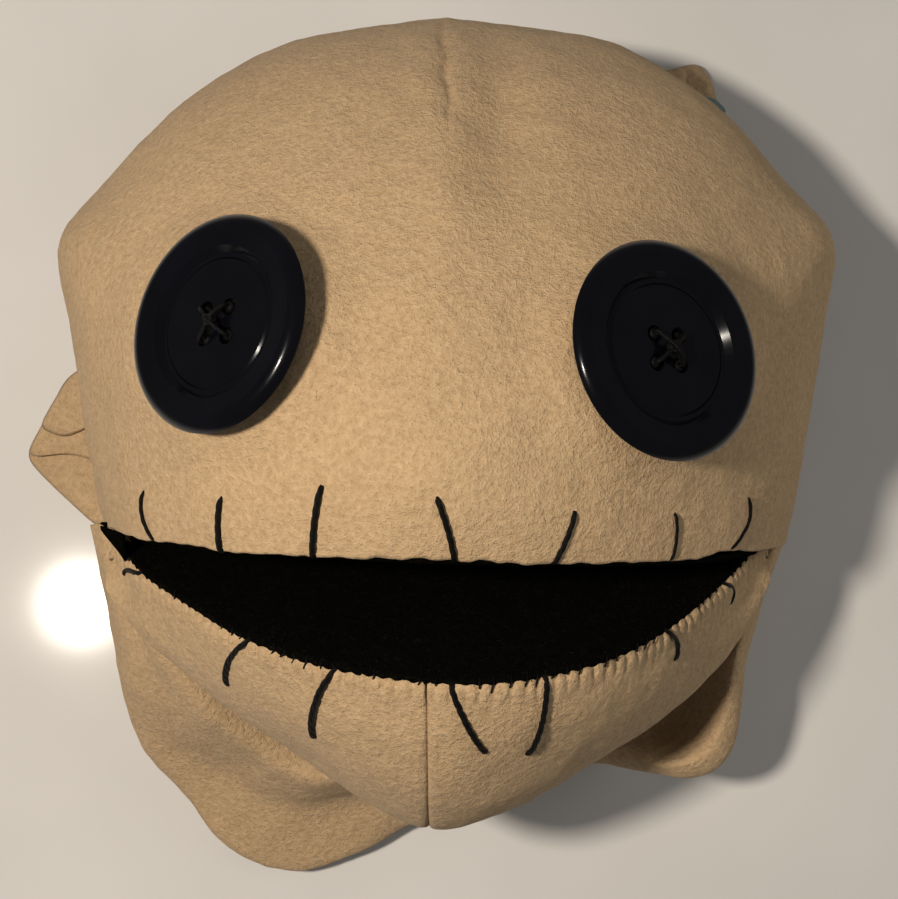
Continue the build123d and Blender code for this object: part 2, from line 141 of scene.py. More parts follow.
# ================================================================ head shape
face_low, face_high = (np.array(corner) * 1000 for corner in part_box("face_panel"))
HINGE = np.array(frame["joints"][0]["pos_m"]) * 1000
CROWN_REACH = 99.5  # from the dome's middle to the crown
HEAD_X = (face_low[0] + face_high[0]) / 2
HEAD_Y = face_high[1] - CROWN_REACH
SEAM_Z = face_low[2]
RISE = 73.0  # of the dome above the seam
FALL = 21.5  # of the back of the head below it
LAP = 1.1  # how far the face and the back of the head lap over the seam
FLEECE = 2.5  # thickness

# Half of the head's outline at its seam, from the crown down to the neck, round (HEAD_X, HEAD_Y).
HALF_OUTLINE = [
    (0, CROWN_REACH), (32.5, 94.5), (55, 81.7), (71.8, 63.8), (81.6, 51), (79, 33),
    (75, 12), (71, -9), (64, -30), (46, -46), (0, -56),
]


def radius_table():
    """Directions round the head, its sharp radius there, and a softened one."""
    right = spline(HALF_OUTLINE, np.linspace(0, len(HALF_OUTLINE) - 1, 400))
    left = right[::-1] * (-1, 1)
    ring = np.concatenate([left[:-1], right[:-1]])
    angle = np.arctan2(ring[:, 1], ring[:, 0])
    order = np.argsort(angle)
    turns = np.linspace(-math.pi, math.pi, 721)
    sharp = np.interp(turns, angle[order], np.hypot(ring[:, 0], ring[:, 1])[order], period=2 * math.pi)
    spread = np.exp(-0.5 * (np.arange(-60, 61) / 26.0) ** 2)
    soft = np.convolve(np.concatenate([sharp[-61:-1], sharp, sharp[1:61]]), spread / spread.sum(), "valid")
    return turns, sharp, soft


TURNS, SHARP, SOFT = radius_table()


def share(x, y):
    """How far out (x, y) is, from 0 at the dome's middle to 1 at the outline."""
    dx, dy = x - HEAD_X, y - HEAD_Y
    turn = np.arctan2(dy, dx)
    reach = np.hypot(dx, dy)
    sharp, soft = np.interp(turn, TURNS, SHARP), np.interp(turn, TURNS, SOFT)
    return reach / (soft + (sharp - soft) * smooth((reach / soft - 0.72) / 0.28))


def dart(x, y):
    """The forehead's dart: a sewn groove from the crown with a fold that dies away below it."""
    top, tip = HEAD_Y + 99, HEAD_Y + 60
    along = np.clip((y - tip) / (top - tip), 0, 1)
    off = x - (HEAD_X + 1.0 - 2.3 * along + 0.35 * np.sin(y * 0.55))
    groove = -0.95 * np.exp(-((off / 0.8) ** 2)) * smooth(along * 4) * (0.8 + 0.2 * np.sin(y * 1.7))
    puff = 0.9 * np.exp(-(((np.abs(off) - 4.5) / 3.6) ** 2)) * smooth(along * 3)
    fold = 1.5 * np.exp(-(((off + 1) / 6.5) ** 2)) * np.exp(-(((y - tip + 10) / 20) ** 2))
    hollow = -2.4 * np.exp(-(((off - 9.5) / 6.5) ** 2)) * np.exp(-(((y - tip - 5) / 17) ** 2))
    return groove + puff + fold + hollow


def button_plane(node):
    """A button's middle, its outward direction and its half thickness, from its own shape."""
    points = np.array([v.co for v in nodes[node].data.vertices]) * 1000
    middle = (points.min(0) + points.max(0)) / 2
    _, _, axes = np.linalg.svd(points - points.mean(0), full_matrices=False)
    out = axes[2] if axes[2][2] > 0 else -axes[2]
    return middle, out, np.ptp(points @ out) / 2


BUTTONS = {side: button_plane(f"eye_button_{side}") for side in ("left", "right")}
SHANK = 1.4  # thread between a button's underside and the fleece
BELLY = 3.6  # the most that the fleece rises towards a button


def dome(x, y):
    """Height of the face over a point in plan."""
    part = np.clip(share(x, y), 0, 1)
    height = SEAM_Z + RISE * (1 - part**1.7) ** 0.6 + dart(x, y) * smooth((1 - part) * 8)
    height = height - LAP * smooth((part - 0.96) / 0.04)
    for middle, out, half in BUTTONS.values():  # the fleece bellies up towards each button
        base = middle - out * (half + SHANK)
        under = base[2] - (out[0] * (x - base[0]) + out[1] * (y - base[1])) / out[2]
        near = smooth((27 - np.hypot(x - middle[0], y - middle[1])) / 13)
        height = height + near * np.clip(under - height, 0, BELLY)
    return height


def bowl(x, y):
    """Height of the back of the head under a point in plan."""
    part = np.clip(share(x, y), 0, 1)
    return SEAM_Z - FALL * (1 - part**3) ** 0.6 + LAP * smooth((part - 0.97) / 0.03)


UPPER_LEAN = math.tan(math.radians(5.7))  # of the upper plate, towards the chin


def cut_y(x, z):
    """Y of the cut through the upper lip and the neck: a plane that sags near the lip."""
    sag = 1.2 * smooth((z - 50) / 25)
    return HINGE[1] - UPPER_LEAN * (z - HINGE[2]) - 0.03 * (x - HINGE[0]) - sag


def cut_line(height, left, right, count):
    """Plan of the curve where the cut plane meets a surface given by its height."""
    x = np.linspace(left, right, count)
    y = np.full_like(x, HINGE[1])
    for _ in range(30):
        y = 0.5 * y + 0.5 * cut_y(x, height(x, y))
    return np.stack([x, y], -1)


# ================================================================ mesh tools
def mesh_object(name, points, faces, material):
    """A smooth mesh from points in millimetres and lists of faces."""
    mesh = bpy.data.meshes.new(name)
    sizes = np.array([len(f) for group in faces for f in group], np.int32)
    mesh.vertices.add(len(points))
    mesh.vertices.foreach_set("co", (np.asarray(points, float) / 1000).astype(np.float32).ravel())
    corners = np.concatenate([np.asarray(group, np.int32).ravel() for group in faces])
    mesh.loops.add(len(corners))
    mesh.loops.foreach_set("vertex_index", corners)
    mesh.polygons.add(len(sizes))
    mesh.polygons.foreach_set("loop_start", np.concatenate([[0], np.cumsum(sizes)[:-1]]).astype(np.int32))
    mesh.polygons.foreach_set("loop_total", sizes)
    mesh.polygons.foreach_set("use_smooth", np.full(len(sizes), True))
    mesh.update(calc_edges=True)
    mesh.validate()
    obj = bpy.data.objects.new(name, mesh)
    bpy.context.scene.collection.objects.link(obj)
    mesh.materials.append(material)
    return obj


def ring_faces(first, second, count, flip):
    """Quads between two closed rings of vertices."""
    i = np.arange(count)
    j = (i + 1) % count
    quads = np.stack([first + i, first + j, second + j, second + i], -1)
    return quads[:, ::-1] if flip else quads


def fan_faces(middle, ring, count, flip):
    """Triangles between one vertex and a closed ring."""
    i = np.arange(count)
    fan = np.stack([np.full(count, middle), ring + i, ring + (i + 1) % count], -1)
    return fan[:, ::-1] if flip else fan


def sunk(distance, radius):
    """How far a rolled edge has turned down at this distance from it."""
    near = np.clip(radius - distance, 0, radius)
    return radius - np.sqrt(np.maximum(radius**2 - near**2, 0))


def cap(
    name, rim, middle, place, rings, ease, inside, seed, material, amount=1.0, thickness=FLEECE
):
    """A closed piece of cloth that covers a plan outline, with its edge rolled under."""
    count = len(rim)
    middle = np.asarray(middle, float)
    ease = np.broadcast_to(ease, (count,))

    def level(v):
        part = 1 - (1 - v) ** ease
        return place(middle + part[:, None] * (rim - middle))

    grid = np.stack([level(v) for v in np.linspace(0, 1, rings + 1)[1:]])
    centre = place(middle[None])[0]
    around = np.roll(grid, -1, 1) - np.roll(grid, 1, 1)
    outward = np.gradient(grid, axis=0)
    normal = unit(np.cross(outward, around))
    turned = np.sum(normal * unit(grid - np.asarray(inside)), -1).mean() < 0
    if turned:
        normal = -normal
    steps = np.linalg.norm(np.diff(grid, axis=0), axis=-1)
    left = np.concatenate([np.cumsum(steps[::-1], 0)[::-1], np.zeros((1, count))])
    fuzz = nap(grid, seed, amount) * np.clip(left / 1.5, 0.25, 1)
    outer = grid + normal * (fuzz - sunk(left, thickness * 0.5))[..., None]
    inner_at = [int(rings * v) - 1 for v in (0.985, 0.94, 0.85, 0.65, 0.4, 0.15)]
    inner = [grid[k] - normal[k] * thickness for k in inner_at]
    up = normal[0].mean(0)
    top, bottom = centre + up * nap(centre[None], seed, amount), centre - up * thickness
    points = np.concatenate([outer.reshape(-1, 3), *inner, [top], [bottom]])
    flip = not turned
    quads = [ring_faces(k * count, (k + 1) * count, count, flip) for k in range(rings - 1)]
    start = (rings - 1) * count
    for k in range(len(inner)):
        nxt = (rings + k) * count
        quads.append(ring_faces(start, nxt, count, flip))
        start = nxt
    end = (rings + len(inner)) * count
    fans = [fan_faces(end, 0, count, not flip), fan_faces(end + 1, start, count, flip)]
    return mesh_object(name, points, [np.concatenate(quads), np.concatenate(fans)], material)


def cloth(
    name, grid, seed, material, rolls=(1, 1, 1, 1), amount=1.0, thickness=FLEECE, inward=1, step=4
):
    """A closed piece of cloth over a grid of points, with rolled edges. inward says which side its
    thickness is on, and rolls which of the edges turn down: first row, last row, first column,
    last column."""
    rows, columns = grid.shape[:2]
    normal = unit(np.cross(np.gradient(grid, axis=0), np.gradient(grid, axis=1))) * inward
    down = np.linalg.norm(np.diff(grid, axis=0), axis=-1)
    over = np.linalg.norm(np.diff(grid, axis=1), axis=-1)
    zero_row, zero_column = np.zeros((1, columns)), np.zeros((rows, 1))
    far = [
        np.concatenate([zero_row, np.cumsum(down, 0)]),
        np.concatenate([np.cumsum(down[::-1], 0)[::-1], zero_row]),
        np.concatenate([zero_column, np.cumsum(over, 1)], 1),
        np.concatenate([np.cumsum(over[:, ::-1], 1)[:, ::-1], zero_column], 1),
    ]
    sink = sum(sunk(d, thickness * 0.5) * r for d, r in zip(far, rolls))
    sink = np.minimum(sink, thickness * 0.6)
    edge = np.minimum.reduce(far)
    fuzz = nap(grid, seed, amount) * np.where(edge < 1.5, 0.3 + 0.7 * edge / 1.5, 1)
    outer = grid + normal * (fuzz - sink)[..., None]
    inner = (grid - normal * thickness)[::step, ::step]
    small_rows, small_columns = inner.shape[:2]
    points = np.concatenate([outer.reshape(-1, 3), inner.reshape(-1, 3)])
    base = rows * columns
    out = np.arange(base).reshape(rows, columns)
    back = base + np.arange(small_rows * small_columns).reshape(small_rows, small_columns)

    def quads(ids):
        return np.stack([ids[:-1, :-1], ids[1:, :-1], ids[1:, 1:], ids[:-1, 1:]], -1).reshape(-1, 4)

    front = quads(out) if inward > 0 else quads(out)[:, ::-1]
    rear = quads(back)[:, ::-1] if inward > 0 else quads(back)
    sides = []
    for line, small, turn in (
        (out[0], back[0], True), (out[-1], back[-1], False), (out[:, 0], back[:, 0], False),
        (out[:, -1], back[:, -1], True),
    ):
        for k in range(len(small) - 1):
            face = list(line[k * step : (k + 1) * step + 1]) + [small[k + 1], small[k]]
            sides.append(face if turn == (inward > 0) else face[::-1])
    return mesh_object(name, points, [front, rear, np.array(sides)], material)


# ================================================================ jaw shape
LOWER_LEAN = math.radians(27)
JAW_SEAM_X = 2.2

# How far the lower lip is from the hinge, and how deep the chin is, along the mouth.
reach_at = curve_of([
    (-66, -8), (-59, 5), (-53, 17), (-42, 30.5), (-31, 42.5), (-14.5, 53.5), (6, 59),
    (21.5, 56.8), (36, 49), (48, 36), (57.5, 22), (67, 5.5), (73, -7),
])
depth_at = curve_of([
    (-66, 0.08), (-62, 0.22), (-56, 0.35), (-48, 0.46), (-36, 0.62), (-22, 0.785), (-8, 0.95),
    (4, 1.02), (16, 0.965), (32, 0.815), (46, 0.665), (58, 0.49), (66, 0.3), (73, 0.08),
])
# The chin's profile at its middle, along the lower plate and square to it, from the lip round
# the chin to the hinge, with how much each point follows the lip's reach.
CHIN = np.array([
    (60.5, 0), (58.5, 14), (52, 28), (43, 38.5), (34.5, 43.5), (25, 43), (15, 36), (4, 25), (-4, 17),
])
FOLLOW = np.array([1, 0.9, 0.55, 0.25, 0.1, 0, 0, 0, 0])


def on_plate(x, along, away):
    """A point given along the lower plate and square to it, away from the mouth."""
    s, c = math.sin(LOWER_LEAN), math.cos(LOWER_LEAN)
    return np.stack([x + 0 * along, HINGE[1] - s * along - c * away, HINGE[2] + c * along - s * away], -1)


def lower_lip(x):
    """The lower lip's edge at each x."""
    return on_plate(x, reach_at(x), 0 * x)


def jaw_control(x):
    """Control points of the chin's profile at each x, shaped (points, len(x), 3)."""
    x = np.atleast_1d(np.asarray(x, float))
    depth, reach = depth_at(x), reach_at(x)
    along = CHIN[:, :1] * (FOLLOW[:, None] * reach / CHIN[0, 0] + (1 - FOLLOW[:, None]) * depth)
    away = CHIN[:, 1:] * depth
    tuck = np.stack([-9 - 4 * depth, 6 + 9 * depth])
    along = np.concatenate([along, tuck[:1]])
    away = np.concatenate([away, tuck[1:]])
    return on_plate(x, along, away)


def jaw_grid(x, rows):
    """The chin's surface at each x, in this many rows from the lip to the neck."""
    control = jaw_control(x)
    return spline(control, np.linspace(0, len(control) - 1, rows))


def jaw_at(x, run):
    """The chin's surface at x, this far from the lip, and its outward direction."""
    x, run = np.atleast_1d(x), np.atleast_1d(run)
    rows = 400
    points, normals = [], []
    for one_x, one_run in zip(x, run):
        line = jaw_grid([one_x - 0.5, one_x, one_x + 0.5], rows)
        steps = run_along(line[:, 1])
        k = int(np.clip(np.searchsorted(steps, max(one_run, 0.0)), 1, rows - 2))
        points.append(line[k, 1])
        normals.append(unit(np.cross(line[k, 2] - line[k, 0], line[k + 1, 1] - line[k - 1, 1])))
    return np.array(points), -np.array(normals)


PITCH = 2.6  # of the whipstitches along the lower lip
LIP_X = np.linspace(-62, 69, 2000)
LIP_RUN = run_along(lower_lip(LIP_X))


def pinches():
    """Where each whipstitch pinches the lower lip: its x, and how far along the lip it is."""
    count = int(LIP_RUN[-1] / PITCH)
    at = (np.arange(count) + 0.5) * PITCH
    at = at + 0.55 * noise(np.stack([at * 1.7, at * 0, at * 0], -1), 2.0, 41)
    return np.interp(at, LIP_RUN, LIP_X), np.clip(at, 0, LIP_RUN[-1])


# ================================================================ sleeve shape
# Sections round the sleeve's bulge, from the left of the neck round the fold to the right of
# the neck: plan of its outer edge, that edge's height, then distance in and height of its
# shoulder and of its ridge, and the height of the hollow under the chin.
BULGE = [
    (-69.4, -17.6, 27, 2.2, 31, 5, 32.5, 29),
    (-67.2, -30, 24, 3, 34, 9, 39.5, 30),
    (-65.4, -43, 20, 4, 31, 13, 41, 27),
    (-63.8, -54, 17, 5, 27, 17, 39, 25),
    (-59.6, -66, 12.5, 7, 19, 20, 35, 24),
    (-51, -76, 8.5, 10, 15, 21, 30, 23),
    (-44.5, -85, 7, 13, 14.2, 24, 28, 22),
    (-35.5, -90.6, 6.5, 15, 13.8, 25, 28, 22),
    (-25.5, -91.6, 6.5, 15.5, 13.6, 25, 28, 22),
    (-14, -88, 7, 12.5, 14, 22, 28, 22),
    (-4, -82.5, 8, 8, 14.5, 17, 27, 22),
    (8, -74.5, 13, 5, 18, 12, 27, 22),
    (22, -68.5, 20, 3.5, 24, 9, 27, 22),
    (35, -67.3, 25, 4, 28.5, 11, 25, 21),
    (46.5, -69, 28, 5, 31.5, 14, 23, 20),
    (56, -69.8, 30, 5.5, 34, 15, 23, 20),
    (63, -66, 31, 5, 35.5, 14, 24, 20),
    (66, -57, 31, 4, 37, 13, 27, 22),
    (68, -45, 30.5, 3.5, 38.5, 12, 31, 24),
    (71.6, -32, 30, 3, 40, 10, 36, 28),
    (76, -19.5, 29, 2.2, 39.5, 7, 42, 34),
]
NECK_X, NECK_Y = 3.0, -34  # the sections run in towards this point, or straight across above it


def bulge_grid(rows, columns):
    """The bulge's surface: rows from the hollow under the chin over the ridge, round the outer
    edge and in under the head, and columns round the neck."""
    table = np.array(BULGE, float)
    edge = table[:, :2]
    low, shoulder_in, shoulder, ridge_in, ridge, hollow = table[:, 2:].T
    aim = np.stack([np.full(len(table), NECK_X), np.maximum(edge[:, 1], NECK_Y)], -1)
    inward = unit(aim - edge)
    hang = smooth((low - 8) / 20)  # how far the edge is off the table
    lines = []
    for inset, height in (
        (ridge_in + 20, hollow),
        (ridge_in + 9, (ridge + hollow) / 2),
        (ridge_in, ridge),
        ((shoulder_in + ridge_in) / 2, (shoulder + ridge) / 2),
        (shoulder_in, shoulder),
        (0 * hang, low),
        (2.5 + 1.5 * hang, 0.5 * low * (1 - hang) + (low - 6) * hang),
        (9 + 3 * hang, 3.2 + 8 * hang),
        (26 + 0 * hang, 3.0 + 2 * hang),
    ):
        lines.append(np.column_stack([edge + inward * inset[:, None], height]))
    control = np.stack(lines)
    along = spline(np.swapaxes(control, 0, 1), np.linspace(0, len(table) - 1, columns))
    return spline(np.swapaxes(along, 0, 1), np.linspace(0, len(lines) - 1, rows))


# ================================================================ materials
class Nodes:
    """A node material under construction, in row-frame metres."""

    def __init__(self, name):
        self.material = bpy.data.materials.new(name)
        self.material.use_nodes = True
        self.tree = self.material.node_tree
        self.shader = self.tree.nodes["Principled BSDF"]
        self.where = self.tree.nodes.new("ShaderNodeTexCoord").outputs["Object"]

    def link(self, source, target):
        """Join an output to an input."""
        self.tree.links.new(source, target)

    def stretched(self, scale):
        """Coordinates scaled by this much along each axis."""
        node = self.tree.nodes.new("ShaderNodeMapping")
        node.inputs["Scale"].default_value = scale
        self.link(self.where, node.inputs["Vector"])
        return node.outputs["Vector"]

    def noise(self, size, detail=2.0, rough=0.5, twist=0.0, vector=None):
        """Noise with lumps of this many millimetres."""
        node = self.tree.nodes.new("ShaderNodeTexNoise")
        node.inputs["Scale"].default_value = 1000 / size
        node.inputs["Detail"].default_value = detail
        node.inputs["Roughness"].default_value = rough
        node.inputs["Distortion"].default_value = twist
        self.link(vector or self.where, node.inputs["Vector"])
        return node.outputs["Fac"]

    def wave(self, size, twist, direction):
        """Bands this many millimetres apart."""
        node = self.tree.nodes.new("ShaderNodeTexWave")
        node.bands_direction = direction
        node.inputs["Scale"].default_value = 1000 / size / 20 * 2 * math.pi
        node.inputs["Distortion"].default_value = twist
        self.link(self.where, node.inputs["Vector"])
        return node.outputs["Fac"]

    def ramp(self, value, stops):
        """Colours or greys at (value, colour) stops."""
        node = self.tree.nodes.new("ShaderNodeValToRGB")
        while len(node.color_ramp.elements) < len(stops):
            node.color_ramp.elements.new(0.5)
        for element, (at, colour) in zip(node.color_ramp.elements, stops):
            element.position = at
            element.color = (*colour, 1) if hasattr(colour, "__len__") else (colour, colour, colour, 1)
        self.link(value, node.inputs["Fac"])
        return node.outputs["Color"]

    def mixed(self, kind, part, first, second):
        """Two colours mixed, with this part of the second."""
        node = self.tree.nodes.new("ShaderNodeMix")
        node.data_type = "RGBA"
        node.blend_type = kind
        for socket, value in ((node.inputs[0], part), (node.inputs[6], first), (node.inputs[7], second)):
            if hasattr(value, "node"):
                self.link(value, socket)
            else:
                socket.default_value = value
        return node.outputs[2]

    def maths(self, kind, first, second):
        """Arithmetic on two values."""
        node = self.tree.nodes.new("ShaderNodeMath")
        node.operation = kind
        for socket, value in zip(node.inputs, (first, second)):
            if hasattr(value, "node"):
                self.link(value, socket)
            else:
                socket.default_value = value
        return node.outputs[0]

    def bumps(self, *layers):
        """Bump maps on top of each other: (height, millimetres)."""
        last = None
        for height, distance in layers:
            node = self.tree.nodes.new("ShaderNodeBump")
            node.inputs["Strength"].default_value = 1.0
            node.inputs["Distance"].default_value = distance / 1000
            self.link(height, node.inputs["Height"])
            if last:
                self.link(last, node.inputs["Normal"])
            last = node.outputs["Normal"]
        self.link(last, self.shader.inputs["Normal"])

    def finish(self, colour, rough, sheen=0.0, sheen_rough=0.5, specular=0.5):
        """Set the surface and return the material."""
        self.link(colour, self.shader.inputs["Base Color"])
        if hasattr(rough, "node"):
            self.link(rough, self.shader.inputs["Roughness"])
        else:
            self.shader.inputs["Roughness"].default_value = rough
        self.shader.inputs["Sheen Weight"].default_value = sheen
        self.shader.inputs["Sheen Roughness"].default_value = sheen_rough
        self.shader.inputs["Specular IOR Level"].default_value = specular
        return self.material


def fleece_material(name):
    """Napped fleece: clumps of pale fibre over a darker ground, partly the fleece's own tone and partly
    painted shade, darker where the nap's bumps sink.
    """
    m = Nodes(name)
    tuft = m.noise(1.15, 3.0, 0.66)
    fibre = m.noise(0.3, 2.0, 0.6)
    cloud = m.noise(16, 2.0, 0.5)
    dark, mid, pale = ((0.40, 0.275, 0.15), (0.50, 0.355, 0.205), (0.60, 0.44, 0.265))
    # painted shade: the tuft and fibre noises that raise the bumps also set the colour, so the hollows of the
    # nap are painted darker
    colour = m.ramp(tuft, [(0.22, dark), (0.5, mid), (0.78, pale)])
    colour = m.mixed("MULTIPLY", 0.55, colour, m.ramp(fibre, [(0.25, 0.72), (0.5, 0.98), (0.75, 1.0)]))
    colour = m.mixed("MULTIPLY", 0.5, colour, m.ramp(cloud, [(0.3, 0.86), (0.7, 1.0)]))
    m.bumps((tuft, 0.58), (fibre, 0.24))
    return m.finish(colour, 0.95, sheen=0.08, sheen_rough=0.4, specular=0.08)


def felt_material(name):
    """Black felt with pale lint."""
    m = Nodes(name)
    fibre = m.noise(0.7, 3.0, 0.7, 2.0)
    lint = m.noise(1.1, 4.0, 0.8, 3.0)
    black, grey, pale = (0.001, 0.001, 0.0009), (0.005, 0.0049, 0.004), (0.035, 0.033, 0.026)
    colour = m.ramp(fibre, [(0.3, black), (0.6, grey), (0.8, pale)])
    colour = m.mixed("MIX", m.ramp(lint, [(0.69, 0.0), (0.76, 0.5)]), colour, (0.075, 0.07, 0.055, 1))
    m.bumps((fibre, 0.7))
    return m.finish(colour, 1.0, specular=0.0)


def thread_material(name):
    """Black cotton floss."""
    m = Nodes(name)
    fibre = m.noise(0.25, 2.0, 0.6, 0.5)
    colour = m.ramp(fibre, [(0.3, (0.0012, 0.0012, 0.0013)), (0.75, (0.006, 0.0058, 0.0055))])
    m.bumps((fibre, 0.12))
    return m.finish(colour, 0.55, specular=0.2)


def button_material(name):
    """Glossy black plastic with faint moulding haze and fine scratches."""
    m = Nodes(name)
    haze = m.noise(9, 3.0, 0.55)
    scratch = m.noise(0.5, 2.0, 0.5, 0.2, m.stretched((1, 0.08, 1)))
    colour = m.ramp(haze, [(0.3, (0.0012, 0.0013, 0.0024)), (0.75, (0.0022, 0.0024, 0.0044))])
    rough = m.ramp(scratch, [(0.35, 0.16), (0.72, 0.19)])
    m.bumps((haze, 0.02))
    return m.finish(colour, rough, specular=0.32)


def board_material(name):
    """Grey-brown pulp board."""
    m = Nodes(name)
    pulp = m.noise(0.8, 3.0, 0.6)
    colour = m.ramp(pulp, [(0.3, (0.26, 0.19, 0.12)), (0.7, (0.42, 0.32, 0.21))])
    m.bumps((pulp, 0.05))
    return m.finish(colour, 0.85, specular=0.3)


def foam_material(name):
    """Cream open-cell foam."""
    m = Nodes(name)
    cells = m.tree.nodes.new("ShaderNodeTexVoronoi")
    cells.inputs["Scale"].default_value = 900
    m.link(m.where, cells.inputs["Vector"])
    colour = m.ramp(cells.outputs["Distance"], [(0.1, (0.52, 0.48, 0.38)), (0.6, (0.80, 0.77, 0.68))])
    m.bumps((cells.outputs["Distance"], 0.3))
    return m.finish(colour, 0.95, specular=0.15)


def woven_material(name, dark, pale, pitch):
    """Plain weave with this many millimetres from thread to thread."""
    m = Nodes(name)
    weave = m.maths("MAXIMUM", m.wave(pitch, 0.4, "X"), m.wave(pitch, 0.4, "Y"))
    wear = m.ramp(m.noise(3), [(0.3, 0.8), (0.7, 1.0)])
    colour = m.mixed("MULTIPLY", 0.5, m.ramp(weave, [(0.2, dark), (0.9, pale)]), wear)
    m.bumps((weave, 0.1))
    return m.finish(colour, 0.8, sheen=0.1, specular=0.25)


def table_material(name):
    """Pale, smooth table top."""
    m = Nodes(name)
    colour = m.ramp(m.noise(60, 2.0), [(0.3, (0.60, 0.60, 0.59)), (0.7, (0.65, 0.65, 0.64))])
    return m.finish(colour, 0.1, specular=0.18)


fleece = fleece_material("napped_fleece")
felt = felt_material("black_felt")
thread = thread_material("black_floss")
button = button_material("button_plastic")
board = board_material("mouth_board")
foam = foam_material("open_cell_foam")
pocket = woven_material("pocket_cotton", (0.02, 0.02, 0.022), (0.06, 0.06, 0.065), 0.7)
tab = woven_material("woven_tab", (0.12, 0.17, 0.17), (0.24, 0.34, 0.33), 0.5)

for node, finish_of in (
    ("eye_button_left", button), ("eye_button_right", button), ("head_foam", foam),
    ("upper_mouth_board", board), ("lower_mouth_board", board), ("finger_pocket", pocket),
    ("thumb_pocket", pocket),
):
    nodes[node].data.materials.clear()
    nodes[node].data.materials.append(finish_of)


# ================================================================ head pieces
def with_height(height):
    """A function that lifts points in plan onto a surface."""
    return lambda plan: np.column_stack([plan, height(plan[:, 0], plan[:, 1])])


def outline_plan(first_y):
    """The head's outline from its right cut round the crown to its left cut."""
    turns = np.linspace(-math.pi / 2, 1.5 * math.pi, 3600)
    wrapped = (turns + math.pi) % (2 * math.pi) - math.pi
    reach = np.interp(wrapped, TURNS, SHARP)
    plan = np.stack([HEAD_X + np.cos(turns) * reach, HEAD_Y + np.sin(turns) * reach], -1)
    return plan[plan[:, 1] > first_y(plan[:, 0])]


def head_rims():
    """Plans of the face's edge round the crown and of its ragged upper lip."""
    around = outline_plan(lambda x: cut_y(x, SEAM_Z))
    lip = cut_line(dome, around[-1, 0], around[0, 0], 900)
    flat = np.column_stack([lip, 0 * lip[:, 0]])
    wobble = 0.45 * noise(flat, 9, 5) + 0.3 * noise(flat, 3.2, 6) + 0.22 * noise(flat, 1.6, 7)
    pulled = 1.5 * np.exp(-(((lip[:, 0] - 58.5) / 4.5) ** 2))  # up, by the last stitch on the right
    inside = smooth((lip[:, 0] - lip[0, 0]) / 12) * smooth((lip[-1, 0] - lip[:, 0]) / 12)
    lip[:, 1] += wobble * inside + pulled
    return around, lip


around, lip = head_rims()
rim = np.concatenate([around, lip[1:-1]])
solid_rim = with_height(dome)(rim)
rim = even(solid_rim, 740, closed=True)[:, :2]
lip_y = np.interp(rim[:, 0], lip[:, 0], lip[:, 1])
at_lip = smooth(1 - (rim[:, 1] - lip_y) / 14)
face = cap(
    "face", rim, (HEAD_X, HEAD_Y + 34), with_height(dome), 124, 1.75 - 0.5 * at_lip,
    (HEAD_X, HEAD_Y + 20, 20), 11, fleece,
)
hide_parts("face_panel")
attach(face, "head")

SEAM_GAP = 0.1  # from the middle of the head's centre seam to each half of its back
neck = cut_line(bowl, around[-1, 0], around[0, 0], 600)


def back_plan(sign):
    """Plan of half of the back of the head: -1 for the left half, 1 for the right."""
    half = around[(around[:, 0] - HEAD_X) * sign > SEAM_GAP]
    cut = neck[(neck[:, 0] - HEAD_X) * sign > SEAM_GAP]
    ends = (cut[-1, 1], half[0, 1]) if sign < 0 else (half[-1, 1], cut[0, 1])
    seam = np.stack([np.full(200, HEAD_X + SEAM_GAP * sign), np.linspace(*ends, 200)], -1)
    plan = np.concatenate([half, cut[1:], seam[1:-1]] if sign < 0 else [half, seam[1:-1], cut[:-1]])
    return even(with_height(bowl)(plan), 360, closed=True)[:, :2]


for side, sign in (("left", -1), ("right", 1)):
    back = cap(
        f"head_back_{side}", back_plan(sign), (HEAD_X + 38 * sign, HEAD_Y + 42), with_height(bowl), 70, 1.5,
        (HEAD_X, HEAD_Y + 20, 60), 21, fleece, 0.8,
    )
    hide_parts(f"head_back_panel_{side}")
    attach(back, "head")


# ================================================================ jaw pieces
pinch_x, pinch_run = pinches()


def puckered(grid, x):
    """Pinch the lip's edge in at each whipstitch, so that the fleece stands up between them."""
    run = run_along(lower_lip(x)) + np.interp(x[0], LIP_X, LIP_RUN)
    gap = np.abs(run[:, None] - pinch_run[None]).min(1)
    pinch = np.exp(-((gap / 0.5) ** 2))
    depth = 0.55 + 0.25 * noise(np.stack([run, 0 * run, 0 * run], -1), 5, 77)
    steps = np.linalg.norm(np.diff(grid, axis=0), axis=-1)
    down = np.concatenate([np.zeros((1, len(x))), np.cumsum(steps, 0)])
    normal = unit(np.cross(np.gradient(grid, axis=0), np.gradient(grid, axis=1)))
    puff = 0.32 * np.exp(-(((down - 2.4) / 1.8) ** 2))
    move = -(pinch * depth)[None] * np.exp(-((down / 2.0) ** 2)) + puff * (1 - pinch)[None]
    return grid + normal * move[..., None]


for side, ends in (("left", (-62.6, JAW_SEAM_X)), ("right", (JAW_SEAM_X, 70.2))):
    fine = np.linspace(*ends, 800)
    run = run_along(lower_lip(fine))
    x = np.interp(np.linspace(0, run[-1], 317), run, fine)
    grid = puckered(jaw_grid(x, 133), x)
    rolls = (1, 0, 0, 0.4) if side == "left" else (1, 0, 0.4, 0)
    chin = cloth(f"chin_{side}", grid, 31, fleece, rolls)
    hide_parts(f"jaw_cover_{side}", "jaw_foam")
    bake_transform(chin)


# ================================================================ felt in the mouth
def lip_height(x):
    """Where the upper lip is, up the cut plane."""
    return np.interp(x, lip[:, 0], dome(lip[:, 0], lip[:, 1]))


RISE_STEPS = np.linspace(0, 1, 81)[:, None]  # rows of the felt, from the hinge to the lip


